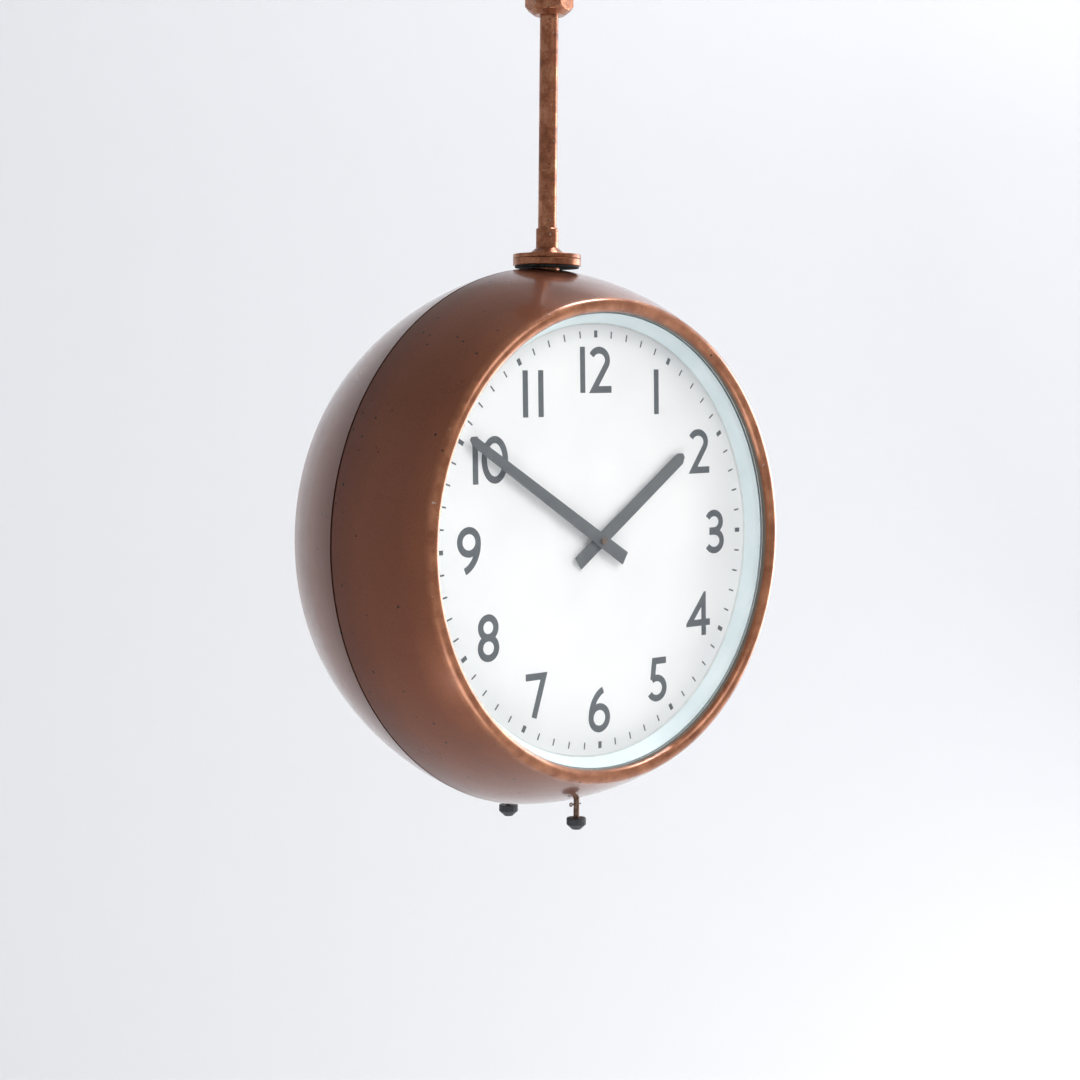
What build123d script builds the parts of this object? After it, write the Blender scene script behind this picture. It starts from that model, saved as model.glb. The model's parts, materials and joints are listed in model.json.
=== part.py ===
from build123d import *
import os
from math import asin, atan2, cos, degrees, radians, sin, sqrt

# A double-sided pendant clock: two spun half-cases on a ring frame, hung from a ceiling by a tube.
# Millimetres. Z is up and the front dial faces -Y. Everything is drawn about the clock's centre
# and lowered at the end, so that the origin is the middle of the ceiling plate's top face.
# "s" is a distance from the seam plane between the half-cases, towards the viewer of a face.

# Half-cases
opening_radius = 229.0  # inner edge of the lip
flank_rise = 48.0  # opening to the outside of the case at the seam
case_half_depth = 107.5  # from the seam plane to the front of the lip
seam_gap = 2.4
shell_wall = 1.5
lip_radius = 7.5  # outside radius of the rolled lip
lip_slope = 28.5  # degrees between the flank and the clock's axis, where it runs into the lip
lip_return = 3.0  # straight edge behind the lip, which the glass beds against

# Glass, reveal ring and their clips
glass_thickness = 3.0
glass_bite = 6.0  # how far the glass reaches out past the lip's inner edge
seal_thickness = 0.8
seal_rim = 1.5
reveal_sheet = 1.0
reveal_flange = 9.0
reveal_gap = 1.0  # reveal ring to dial
clip_count = 6
clip_width = 24.0
clip_sheet = 1.5
clip_leg = 12.0

# Dials, and the hands in front of them
reveal_width = 11.5  # edge of the dial to the opening
dial_thickness = 1.5
dial_recess = 29.5  # front of the lip to the front of the dial
dial_hole_gap = 0.5  # hour pipe to the edge of the dial's hole
dial_turn = 1.65  # degrees that each dial sits anticlockwise of upright
minute_angle = 301.8  # where the hands point on the dial, clockwise from twelve
hour_angle = 55.8
hand_thickness = 1.2
hour_hand_lift = 3.5  # front of dial to back of hour hand
hand_gap = 1.8
minute_margin = 13.5  # tip to the edge of the dial
minute_tail = 37.0
minute_tip_width = 9.5
minute_tail_width = 14.0
hour_margin = 70.5
hour_tail = 38.0
hour_tip_width = 13.0
hour_tail_width = 14.0
hand_point = 6.0  # length of the blunt point
hand_point_share = 0.35  # of the tip's width that is left flat
hand_screw_radius = 3.5
hand_screw_height = 2.5
hand_slot = 0.8

# Ring frame, bars and dial posts
ring_wall = 3.0
ring_half_width = 20.0
ring_clearance = 2.0  # ring to the inside of the shells
tongue_width = 11.0
tongue_gap = 0.4  # tongue to each shell, in the seam
bar_thickness = 4.0
bar_height = 20.0
bar_level = 45.0
post_radius = 4.0
post_spread = 130.0
terminal_length = 50.0
terminal_height = 14.0
terminal_depth = 12.0
terminal_start = 62.0
terminal_barriers = 5
barrier_share = 0.12  # of each way, at both sides

# Pendant tube and its fittings
tube_radius = 9.5
tube_wall = 2.0
tube_clear = 216.5  # bare tube between the collar and the union
tube_tail = 30.0  # tube inside the case, below the shells' top
swing_gap = 0.4  # gasket to the shells that swing under it
gasket_thickness = 1.9
gasket_radius = 33.0
flange_radius = 35.0
flange_thickness = 7.4
flange_edge = 1.0
cap_thickness = 4.4
cap_edge = 0.8
neck_wall = 3.5  # around the tube
notch_gap = 2.0  # neck to the notch in the shells
cone_spread = 10.0
cone_height = 6.7
collar_wall = 2.0
collar_height = 20.0
collar_edge = 0.7
locknut_wall = 5.5  # tube to the flats
locknut_height = 10.0
union_wall = 12.0
union_height = 40.0
union_round = 9.0
union_rim = 6.0
boss_wall = 12.5
boss_height = 8.0
plate_radius = 55.0
plate_thickness = 6.0
plate_edge = 1.0
plate_step = 3.0  # plate left above the tube's end
plate_hole_radius = 2.75
plate_hole_circle = 86.0
plate_holes = 4

# Side hinge
hinge_air = 0.5  # shells to the knuckles
knuckle_wall = 2.5
hinge_pin_radius = 2.5
knuckle_length = 14.0
knuckle_gap = 0.5
knuckle_owners = ("frame", "front", "rear", "frame", "front", "rear", "frame")
pin_head_rim = 1.5
pin_head_height = 1.5
leaf_sheet = 2.0
leaf_reach = 30.0
leaf_start = 5.0
weld_gap = 0.02  # leaf to the shell that it is welded on
web_root = 22.0
foot_sheet = 1.6
foot_half_width = 14.0
blade_thickness = 1.5
web_depth = 9.0

# Thumbscrews, their clamp nuts and the slotted lugs on the ring
screw_set = 52.0  # seam plane to each screw's axis
screw_radius = 3.0
screw_hole_gap = 0.5
screw_exposed = 20.0  # shell to the top of the knob
knob_radius = 10.0
knob_straight = 7.6
knob_taper = 4.4
knob_foot_radius = 5.0
knob_edge = 0.8
knob_socket = 8.0
cotter_radius = 0.7
cotter_half_length = 6.0
cotter_eye = 1.6
cotter_gap = 0.5
lug_drop = 12.5  # shell to the top of the lug
lug_sheet = 4.0
lug_half_width = 16.0
lug_start = 14.0
lug_lip = 8.0  # lug past the screw's axis
slot_gap = 1.0
nut_half_width = 7.5
nut_height = 6.0
nut_seat_gap = 0.3
nut_side_gap = 1.0
ear_sheet = 2.0
screw_above_nut = 3.0

# Movements, one behind each dial
motion_depth = 10.5  # back of the front plate to the back of the dial
movement_depth = 38.0  # back to back of the two plates
plate_side = 18.0  # ratchet wheel to the plates' edges
plate_head = 28.0
plate_foot = 6.0  # magnet to the plates' lower edge
movement_sheet = 2.0
pillar_radius = 3.5
pillar_tip_radius = 2.0
pillar_spread = 36.0
running_gap = 0.05  # radial, in each bearing
arbor_radius = 2.0
sleeve_radius = 3.0
pipe_wall = 1.45
wheel_gap = 0.7  # front plate to the wheels in front of it
ratchet_radius = 26.0
ratchet_depth = 1.0
ratchet_teeth = 120
ratchet_lift = 17.0  # each lift is from the back of the back plate
ratchet_sheet = 2.0
collet_radius = 5.0
collet_height = 4.0
minute_module = 1.0  # cannon pinion and minute wheel
hour_module = 0.8  # minute pinion and hour wheel
root_share = 1.25  # tooth root and tip, in modules from the pitch circle
tip_share = 0.85
root_half = 0.31  # half a tooth at its root and tip, in shares of the tooth spacing
tip_half = 0.09
pinion_teeth = 12
minute_teeth = 36
hour_teeth = 48
gear_sheet = 1.5
cannon_height = 2.5
stud_radius = 1.5
stud_bearing = 125.0  # direction of the stud from the centre, clockwise from twelve
stud_over = 1.0

# Electromagnet, armature, pawl and back-stop
armature_side = 30.0  # pivot to the clock's axis
armature_gap = 7.0  # ratchet wheel to the pivot, downwards
armature_length = 56.0
armature_arbor_radius = 1.5
armature_height = 4.0
armature_lift = 12.0
armature_depth = 12.0
arm_width = 5.0
arm_lift = 20.0
arm_over = 3.0  # arm past the pawl's pin
arm_sheet = 2.0
pawl_side = 31.5
pawl_rise = 4.0  # ratchet wheel to the pawl's pin, upwards
pawl_pin_radius = 1.2
pawl_eye_radius = 3.2
pawl_tip_gap = 0.5
pawl_waist = 2.9
nose_side = 2.5  # tip of the nose to the clock's axis
nose_land = 1.4
nose_rise = 0.2
nose_height = 4.0
nose_back = 1.5
heel_side = 3.5
heel_rise = 1.6
pawl_sheet = 2.0
core_places = (-5.0, 19.0)
core_radius = 4.0
core_gap = 2.2  # core to the armature at rest
core_proud = 2.3
coil_radius = 10.0
coil_length = 26.5
coil_stand = 2.0
yoke_height = 6.0
yoke_margin = 11.0  # each end, past the core's middle
click_out = 4.0
click_up = 1.0
click_block_size = 6.0
click_sheet = 0.6
click_tip_gap = 0.5
click_bearing = 70.6  # direction of the leaf's tip from the centre

# Places that follow from the sizes above
case_radius = opening_radius + flank_rise  # outside, at the seam
dial_radius = opening_radius - reveal_width
dial_set = case_half_depth - dial_recess  # seam plane to the front of a dial
minute_reach = dial_radius - minute_margin
hour_reach = dial_radius - hour_margin
lip_r = opening_radius + lip_radius
lip_s = case_half_depth - lip_radius
lip_lean = radians(lip_slope)
join_r = lip_r + lip_radius * cos(lip_lean)
join_s = lip_s + lip_radius * sin(lip_lean)
chord_r = case_radius - join_r
chord_s = join_s - seam_gap / 2
flank_radius = (chord_r**2 + chord_s**2) / (2 * (chord_s * sin(lip_lean) - chord_r * cos(lip_lean)))
flank_r = join_r - flank_radius * cos(lip_lean)  # centre of the flank's arc
flank_s = join_s - flank_radius * sin(lip_lean)


def flank_at(s, inset=0.0):
    """Radius of the flank at s, set in from its outer surface."""
    return flank_r + sqrt((flank_radius - inset) ** 2 - (s - flank_s) ** 2)


ring_outer = flank_at(ring_half_width, shell_wall) - ring_clearance
ring_inner = ring_outer - ring_wall
bar_face = bar_thickness / 2
dial_back = dial_set - dial_thickness
front_plate_set = dial_back - motion_depth
back_plate_set = front_plate_set - movement_depth
return_s = lip_s - lip_return
glass_front = return_s - seal_thickness
glass_back = glass_front - glass_thickness
glass_radius = opening_radius + glass_bite
hour_hand_back = dial_set + hour_hand_lift
hour_hand_front = hour_hand_back + hand_thickness
minute_hand_back = hour_hand_front + hand_gap
minute_hand_front = minute_hand_back + hand_thickness
pipe_bore = sleeve_radius + running_gap
pipe_radius = pipe_bore + pipe_wall
front_plate_face = front_plate_set + movement_sheet
back_plate_face = back_plate_set + movement_sheet
gear_set = front_plate_face + wheel_gap
ratchet_set = back_plate_set + ratchet_lift
ratchet_face = ratchet_set + ratchet_sheet
arm_set = back_plate_set + arm_lift
armature_near = back_plate_set + armature_lift
armature_far = armature_near + armature_depth
armature_pivot = (-armature_side, -ratchet_radius - armature_gap)
armature_low = armature_pivot[1] - armature_height / 2
armature_end = armature_pivot[0] + armature_length
pawl_pivot = (-pawl_side, ratchet_radius + pawl_rise)
core_top = armature_low - core_gap
coil_high = core_top - core_proud
coil_low = coil_high - coil_length
yoke_high = coil_low - coil_stand
yoke_low = yoke_high - yoke_height
plate_half_width = ratchet_radius + plate_side
plate_top = ratchet_radius + plate_head
plate_bottom = yoke_low - plate_foot
gear_centres = minute_module * (pinion_teeth + minute_teeth) / 2
stud_x = gear_centres * sin(radians(stud_bearing))
stud_z = gear_centres * cos(radians(stud_bearing))
hour_wheel_set = gear_set + cannon_height + wheel_gap
knuckle_radius = hinge_pin_radius + knuckle_wall
pin_head_radius = hinge_pin_radius + pin_head_rim
hinge_x = case_radius + knuckle_radius + hinge_air
slot_turn = degrees(atan2(screw_set, hinge_x))
shell_bottom = -flank_at(screw_set)
lug_level = -shell_bottom - lug_drop  # top of the lug, below the clock's centre
lug_end = screw_set + lug_lip
knob_top = shell_bottom - screw_exposed
cotter_sweep = cotter_half_length + 2 * (cotter_eye + cotter_radius)
cotter_z = -flank_at(screw_set - cotter_sweep) - cotter_gap - cotter_eye - cotter_radius
tube_bore = tube_radius - tube_wall
neck_radius = tube_radius + neck_wall
cone_radius = tube_radius + cone_spread
collar_radius = tube_radius + collar_wall
union_flat = tube_radius + union_wall
union_mouth = tube_radius + union_rim
boss_radius = tube_radius + boss_wall
flange_bottom = case_radius + swing_gap + gasket_thickness
cap_bottom = flange_bottom + flange_thickness
cap_top = cap_bottom + cap_thickness
collar_top = cap_top + cone_height + collar_height
union_bottom = collar_top + tube_clear
union_top = union_bottom + union_height
plate_bottom_z = union_top + boss_height
drop = plate_bottom_z + plate_thickness  # ceiling to the clock's centre
tube_top = drop - plate_step


# Helpers: a flat outline is drawn across (x) and up (z), and given its depth along s
def plate(outline, s_low, s_high):
    return Plane.XZ.offset(s_low) * extrude(outline, s_high - s_low, dir=(0, 0, 1))


def disc(radius, s_low, s_high, x=0.0, z=0.0):
    return plate(Pos(x, z) * Circle(radius), s_low, s_high)


def block(x_low, x_high, s_low, s_high, z_low, z_high):
    size = Box(x_high - x_low, s_high - s_low, z_high - z_low, align=(Align.MIN,) * 3)
    return Pos(x_low, -s_high, z_low) * size


def upright(radius, z_low, z_high, x=0.0, s=0.0):
    stem = Cylinder(radius, z_high - z_low, align=(Align.CENTER, Align.CENTER, Align.MIN))
    return Pos(x, -s, z_low) * stem


def turned(points):
    """A ring about the clock's axis, from its section's (radius, s) corners."""
    section = Polygon(*[(r, -s) for r, s in points], align=None)
    return revolve(section, Axis.Y)


def lathe(points):
    """A piece about the pendant's axis, from its section's (radius, z) corners."""
    section = Polygon(*points, align=None)
    return revolve(Plane.XZ * section, Axis.Z)


def flank_band(s_low, s_high, inset_high, inset_low):
    """A ring that follows the flank, between two depths below its outer surface."""
    s_middle = (s_low + s_high) / 2
    arcs = []
    for inset in (inset_high, inset_low):
        ends = [(flank_at(s, inset), -s) for s in (s_low, s_middle, s_high)]
        arcs.append(ThreePointArc(*ends))
    sides = [Line(arcs[0] @ 0, arcs[1] @ 0), Line(arcs[0] @ 1, arcs[1] @ 1)]
    return revolve(make_face([*arcs, *sides]), Axis.Y)


def other_face(shape):
    """The same piece turned to the rear face, for what reads the same from behind."""
    return Rot(0, 0, 180) * shape


def mirrored(shape):
    """The same piece reflected in the seam plane, for what shares the hinge's side."""
    return mirror(shape, Plane.XZ)


nodes = {}

# Pendant, from the ceiling down
plate_disc = upright(plate_radius, plate_bottom_z, drop)
plate_disc = fillet(plate_disc.edges().group_by(Axis.Z)[0], plate_edge)
ceiling_plate = plate_disc + upright(boss_radius, union_top, plate_bottom_z)
ceiling_plate -= upright(tube_radius, union_top, tube_top)
ceiling_plate -= upright(tube_bore, tube_top, drop)
for index in range(plate_holes):
    turn = radians(360 / plate_holes * (index + 0.5))
    hole_x = plate_hole_circle / 2 * cos(turn)
    hole_s = plate_hole_circle / 2 * sin(turn)
    ceiling_plate -= upright(plate_hole_radius, plate_bottom_z, drop, hole_x, hole_s)
nodes["ceiling_plate"] = ceiling_plate

union_corner = 2 * union_flat / sqrt(3)
union_hex = extrude(RegularPolygon(union_corner, 6), union_height)
union_blank = lathe([
    (tube_radius, union_bottom),
    (union_mouth, union_bottom),
    (union_flat, union_bottom + union_round / 2),
    (union_corner, union_bottom + union_round),
    (union_corner, union_top - union_round / 3),
    (boss_radius, union_top),
    (tube_radius, union_top),
])
nodes["ceiling_union"] = union_blank & (Pos(0, 0, union_bottom) * Rot(0, 0, 15) * union_hex)

tube_bottom = ring_outer - tube_tail
pendant_tube = upright(tube_radius, tube_bottom, tube_top)
nodes["pendant_tube"] = pendant_tube - upright(tube_bore, tube_bottom, tube_top)

nodes["tube_collar"] = lathe([
    (tube_radius, cap_top),
    (cone_radius, cap_top),
    (collar_radius, cap_top + cone_height),
    (collar_radius, collar_top - collar_edge),
    (collar_radius - collar_edge, collar_top),
    (tube_radius, collar_top),
])

cap = upright(flange_radius, cap_bottom, cap_top)
cap = fillet(cap.edges(), cap_edge)
nodes["canopy_cap"] = cap - upright(tube_radius, cap_bottom, cap_top)

flange = upright(flange_radius, flange_bottom, cap_bottom)
flange = fillet(flange.edges(), flange_edge)
ring_core = disc(ring_outer, -case_half_depth, case_half_depth)
flange += upright(neck_radius, ring_inner, flange_bottom + flange_edge) - ring_core
nodes["canopy_flange"] = flange - upright(tube_radius, ring_inner, cap_bottom)

gasket = upright(gasket_radius, case_radius + swing_gap, flange_bottom)
nodes["canopy_gasket"] = gasket - upright(neck_radius, case_radius, flange_bottom)

nut_low = ring_inner - locknut_height
locknut_corner = 2 * (tube_radius + locknut_wall) / sqrt(3)
locknut = Pos(0, 0, nut_low) * extrude(RegularPolygon(locknut_corner, 6), 2 * locknut_height)
locknut &= disc(ring_inner, -case_half_depth, case_half_depth)
nodes["tube_locknut"] = locknut - upright(tube_radius, nut_low, ring_outer)

# Ring frame
centre_ring = disc(ring_outer, -ring_half_width, ring_half_width)
centre_ring -= disc(ring_inner, -ring_half_width, ring_half_width)
centre_ring -= upright(tube_radius, ring_inner - ring_wall, ring_outer)
tongue_half = seam_gap / 2 - tongue_gap
tongue = block(-tongue_width / 2, tongue_width / 2, -tongue_half, tongue_half, -case_radius, -ring_inner)
nodes["centre_ring"] = centre_ring + (tongue - disc(ring_inner, -tongue_half, tongue_half))

ring_hole = disc(ring_inner, -ring_half_width, ring_half_width)
cross_bars = []
for side in (1, -1):
    bar_middle = side * bar_level
    bar_low = bar_middle - bar_height / 2
    bar = block(-ring_outer, ring_outer, -bar_face, bar_face, bar_low, bar_low + bar_height)
    cross_bars.append(bar & ring_hole)
nodes["cross_bars"] = Compound(cross_bars)

terminal_low = bar_level - terminal_height / 2
terminal_end = terminal_start + terminal_length
terminal_top = terminal_low + terminal_height
terminal_face = bar_face + terminal_depth
terminal_block = block(terminal_start, terminal_end, bar_face, terminal_face, terminal_low, terminal_top)
way = terminal_length / terminal_barriers
for index in range(terminal_barriers):
    way_left = terminal_start + way * (index + barrier_share)
    way_right = terminal_start + way * (index + 1 - barrier_share)
    way_low = bar_face + terminal_depth / 2
    terminal_block -= block(way_left, way_right, way_low, terminal_face, terminal_low, terminal_top)
nodes["terminal_block"] = terminal_block

# Side hinge, one pin for both half-cases
case_core = disc(case_radius, -case_half_depth, case_half_depth)
hinge_length = len(knuckle_owners) * knuckle_length + (len(knuckle_owners) - 1) * knuckle_gap
hinge_half = hinge_length / 2


def knuckles(owner):
    """The heights of an owner's knuckles."""
    spans = []
    for index, name in enumerate(knuckle_owners):
        low = -hinge_half + index * (knuckle_length + knuckle_gap)
        if name == owner:
            spans.append((low, low + knuckle_length))
    return spans


hinge_zone = block(0, hinge_x, -case_half_depth, case_half_depth, -hinge_half, hinge_half)
foot = disc(ring_outer + foot_sheet, -foot_half_width, foot_half_width)
foot = (foot - disc(ring_outer, -foot_half_width, foot_half_width)) & hinge_zone
blade_half = blade_thickness / 2
for low, high in knuckles("frame"):
    blade = block(ring_inner - foot_half_width, hinge_x, -blade_half, blade_half, low, high)
    foot += blade - disc(ring_outer, -blade_half, blade_half)
    foot += upright(knuckle_radius, low, high, hinge_x)
nodes["frame_hinge"] = foot - upright(hinge_pin_radius, -hinge_half, hinge_half, hinge_x)

hinge_pin = upright(hinge_pin_radius, -hinge_half, hinge_half, hinge_x)
hinge_pin += upright(pin_head_radius, hinge_half, hinge_half + pin_head_height, hinge_x)
hinge_pin += upright(pin_head_radius, -hinge_half - pin_head_height, -hinge_half, hinge_x)
nodes["hinge_pin"] = hinge_pin


def hinge_leaf(owner):
    """A leaf that follows the shell's flank, with this owner's knuckles (drawn for the front)."""
    leaf = flank_band(leaf_start, leaf_reach, -weld_gap, -weld_gap - leaf_sheet) & hinge_zone
    inside = flank_band(0, leaf_reach, -weld_gap, case_radius / 2)
    web_edge = seam_gap / 2 + tongue_gap
    for low, high in knuckles(owner):
        web = block(hinge_x - web_root, hinge_x, web_edge, web_depth, low, high)
        leaf += (web - inside) + upright(knuckle_radius, low, high, hinge_x)
        leaf -= upright(hinge_pin_radius + running_gap, low, high, hinge_x)
    return leaf


# Half-case, its glass, seal, reveal ring and clips (drawn for the front)
def wall_edges(inset):
    """The flank, the lip and its return, set in from the outside."""
    lip = lip_radius - inset
    seam_end = (flank_at(seam_gap / 2, inset), -seam_gap / 2)
    middle = (flank_at(join_s / 2, inset), -join_s / 2)
    join = (lip_r + lip * cos(lip_lean), -lip_s - lip * sin(lip_lean))
    crest_turn = (radians(180) + lip_lean) / 2
    crest = (lip_r + lip * cos(crest_turn), -lip_s - lip * sin(crest_turn))
    mouth = (lip_r - lip, -lip_s)
    edges = [ThreePointArc(seam_end, middle, join), ThreePointArc(join, crest, mouth)]
    return [*edges, Line(mouth, (lip_r - lip, -return_s))]


outer_wall = wall_edges(0)
inner_wall = wall_edges(shell_wall)
wall_ends = [Line(outer_wall[0] @ 0, inner_wall[0] @ 0), Line(outer_wall[2] @ 1, inner_wall[2] @ 1)]
spun_wall = revolve(make_face([*outer_wall, *inner_wall, *wall_ends]), Axis.Y)
shell = spun_wall - upright(neck_radius + notch_gap, ring_inner, case_radius + notch_gap)
screw_hole = screw_radius + screw_hole_gap
shell -= upright(screw_hole, shell_bottom - screw_set / 2, -lug_level, 0, screw_set)

glass = disc(glass_radius, glass_back, glass_front)
seal = turned([
    (opening_radius, return_s),
    (glass_radius + seal_rim, return_s),
    (glass_radius + seal_rim, glass_back),
    (glass_radius, glass_back),
    (glass_radius, glass_front),
    (opening_radius, glass_front),
])

reveal_mouth = opening_radius - reveal_sheet
reveal_foot = dial_radius + reveal_gap + reveal_sheet / 2
reveal_end = dial_set + reveal_gap
reveal = turned([
    (reveal_mouth, glass_back),
    (reveal_mouth + reveal_flange, glass_back),
    (reveal_mouth + reveal_flange, glass_back - reveal_sheet),
    (reveal_mouth + reveal_sheet, glass_back - reveal_sheet),
    (reveal_foot + reveal_sheet, reveal_end),
    (reveal_foot, reveal_end),
])

clip_high = glass_back - reveal_sheet
clip_root = clip_high - clip_leg
clip_hook = reveal_mouth + reveal_flange / 3
clip_wall = shell_wall + clip_sheet
clip_band = turned([
    (clip_hook, clip_high),
    (clip_hook, clip_high - clip_sheet),
    (flank_at(clip_high, clip_wall), clip_high - clip_sheet),
    (flank_at(clip_root, clip_wall), clip_root),
    (flank_at(clip_root, shell_wall / 2), clip_root),
    (flank_at(clip_high, shell_wall / 2), clip_high),
])
clip_band -= spun_wall
clips = []
for index in range(clip_count):
    turn = 360 / clip_count * (index + 0.5)
    clip_zone = block(0, case_radius, 0, case_half_depth, -clip_width / 2, clip_width / 2)
    clips.append(clip_band & (Rot(0, turn, 0) * clip_zone))

# Thumbscrew and clamp nut (drawn for the front)
shank_low = knob_top - knob_socket
shank_high = -lug_level + nut_seat_gap + nut_height + screw_above_nut
shank = upright(screw_radius, shank_low, shank_high, 0, screw_set)
cotter_bar = Pos(0, -screw_set, cotter_z) * Rot(0, 90, 0) * Cylinder(cotter_radius, 2 * cotter_half_length)
eye_x = -cotter_half_length - cotter_eye
cotter_loop = Pos(eye_x, -screw_set, cotter_z) * Rot(90, 0, 0) * Torus(cotter_eye, cotter_radius)
cotter = cotter_bar + cotter_loop
shank -= cotter_bar
knob_low = knob_top - knob_straight
knob = Pos(0, -screw_set, 0) * lathe([
    (screw_radius, knob_top),
    (knob_radius - knob_edge, knob_top),
    (knob_radius, knob_top - knob_edge),
    (knob_radius, knob_low),
    (knob_foot_radius, knob_low - knob_taper),
    (0, knob_low - knob_taper),
    (0, shank_low),
    (screw_radius, shank_low),
])

nut_seat = -lug_level + nut_seat_gap
clamp_nut = extrude(Rectangle(2 * nut_half_width, 2 * nut_half_width), nut_height)
clamp_nut -= upright(screw_radius + running_gap, 0, nut_height)
clamp_nut = Pos(0, -screw_set, nut_seat) * Rot(0, 0, slot_turn) * clamp_nut

# Slotted lug under each clamp nut: the slot is open towards the face, along the screw's swing
lug = block(-lug_half_width, lug_half_width, lug_start, lug_end, -lug_level - lug_sheet, -lug_level)
lug_web = block(-lug_half_width, lug_half_width, lug_start, ring_half_width, -ring_outer, -lug_level)
lug += lug_web & ring_hole
slot_half = screw_radius + slot_gap
slot_length = 2 * lug_lip
slot_low = -lug_level - 2 * lug_sheet
slot = upright(slot_half, slot_low, -lug_level)
slot += block(-slot_half, slot_half, 0, slot_length, slot_low, -lug_level)
lug -= Pos(0, -screw_set, 0) * Rot(0, 0, slot_turn) * slot
ear_inside = nut_half_width + nut_side_gap
for side in (1, -1):
    ear_edges = sorted((side * ear_inside, side * (ear_inside + ear_sheet)))
    ear = block(*ear_edges, -nut_half_width, lug_lip, -lug_level, -lug_level + nut_height)
    lug += Pos(0, -screw_set, 0) * Rot(0, 0, slot_turn) * ear
nodes["lock_lugs"] = Compound([lug, mirrored(lug)])

case_pieces = {
    "shell": shell,
    "glass": glass,
    "glass_seal": seal,
    "reveal_ring": reveal,
    "reveal_clips": Compound(clips),
    "screw_shank": shank,
    "screw_knob": knob,
    "screw_cotter": cotter,
    "clamp_nut": clamp_nut,
}
for name, piece in case_pieces.items():
    nodes[f"front_{name}"] = piece
    nodes[f"rear_{name}"] = mirrored(piece)
nodes["front_hinge_leaf"] = hinge_leaf("front")
nodes["rear_hinge_leaf"] = mirrored(hinge_leaf("rear"))

# Dial and its posts (from here on drawn for the front and turned round for the rear)
dial = disc(dial_radius, dial_back, dial_set) - disc(pipe_radius + dial_hole_gap, dial_back, dial_set)
posts = []
for side in (1, -1):
    for level in (bar_level, -bar_level):
        post = disc(post_radius, bar_face, dial_back, side * post_spread, level)
        posts += [post, other_face(post)]
nodes["dial_posts"] = Compound(posts)


# Movement plates. The pillars are riveted into the back plate and stand on the bars
def bearing(place, radius):
    return disc(radius + running_gap, back_plate_set, front_plate_face, *place)


plate_middle = (plate_top + plate_bottom) / 2
plate_outline = Pos(0, plate_middle) * Rectangle(2 * plate_half_width, plate_top - plate_bottom)
plate_outline = fillet(plate_outline.vertices(), 2 * pillar_radius)
back_plate = plate(plate_outline, back_plate_set, back_plate_face)
front_plate = plate(plate_outline, front_plate_set, front_plate_face)
for side in (1, -1):
    for level in (bar_level, -bar_level):
        place = (side * pillar_spread, level)
        tip = disc(pillar_tip_radius, front_plate_set, front_plate_face, *place)
        back_plate += disc(pillar_radius, bar_face, front_plate_set, *place) + tip
        front_plate -= tip
bearings = bearing((0, 0), arbor_radius) + bearing(armature_pivot, armature_arbor_radius)
back_plate -= bearings
front_plate -= bearings
pinion_end = hour_wheel_set + gear_sheet + wheel_gap
front_plate += disc(stud_radius, front_plate_set, pinion_end + stud_over, stud_x, stud_z)
nodes["movement_back_plates"] = Compound([back_plate, other_face(back_plate)])
nodes["movement_front_plates"] = Compound([front_plate, other_face(front_plate)])

# Electromagnet
magnet_set = (armature_near + armature_far) / 2
yoke_left = min(core_places) - yoke_margin
yoke_right = max(core_places) + yoke_margin
yoke = block(yoke_left, yoke_right, back_plate_face, armature_far, yoke_low, yoke_high)
coils = []
for x in core_places:
    yoke += upright(core_radius, yoke_high, core_top, x, magnet_set)
    coil = upright(coil_radius, coil_low, coil_high, x, magnet_set)
    coils.append(coil - upright(core_radius, coil_low, coil_high, x, magnet_set))
nodes["magnet_yokes"] = Compound([yoke, other_face(yoke)])
nodes["magnet_coils"] = Compound([*coils, *[other_face(coil) for coil in coils]])

# Back-stop click: a block on the back plate and a leaf that meets the ratchet teeth
block_x = ratchet_radius + click_out
block_z = ratchet_radius + click_up
block_end = block_x + click_block_size
block_top = block_z + click_block_size
tip_x = (ratchet_radius + click_tip_gap) * sin(radians(click_bearing))
tip_z = (ratchet_radius + click_tip_gap) * cos(radians(click_bearing))
click = block(block_x, block_end, back_plate_face, ratchet_face, block_z, block_top)
leaf_outline = Polygon(
    (block_x, block_z + click_sheet),
    (block_x + 2 * click_sheet, block_z),
    (tip_x + click_sheet, tip_z),
    (tip_x, tip_z),
    align=None,
)
click += plate(leaf_outline, ratchet_set, ratchet_face)
nodes["backstop_clicks"] = Compound([click, other_face(click)])

# Armature with its arm and pawl pin
armature_start = armature_pivot[0] - arm_width / 2
armature_top = armature_low + armature_height
armature = block(armature_start, armature_end, armature_near, armature_far, armature_low, armature_top)
armature += disc(armature_arbor_radius, back_plate_set, front_plate_face, *armature_pivot)
pawl_x, pawl_z = pawl_pivot
arm_half = arm_width / 2
arm_top = pawl_z + arm_over
arm = block(pawl_x - arm_half, pawl_x + arm_half, arm_set, arm_set + arm_sheet, armature_low, arm_top)
armature += arm + disc(pawl_pin_radius, ratchet_set, arm_set, *pawl_pivot)

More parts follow.
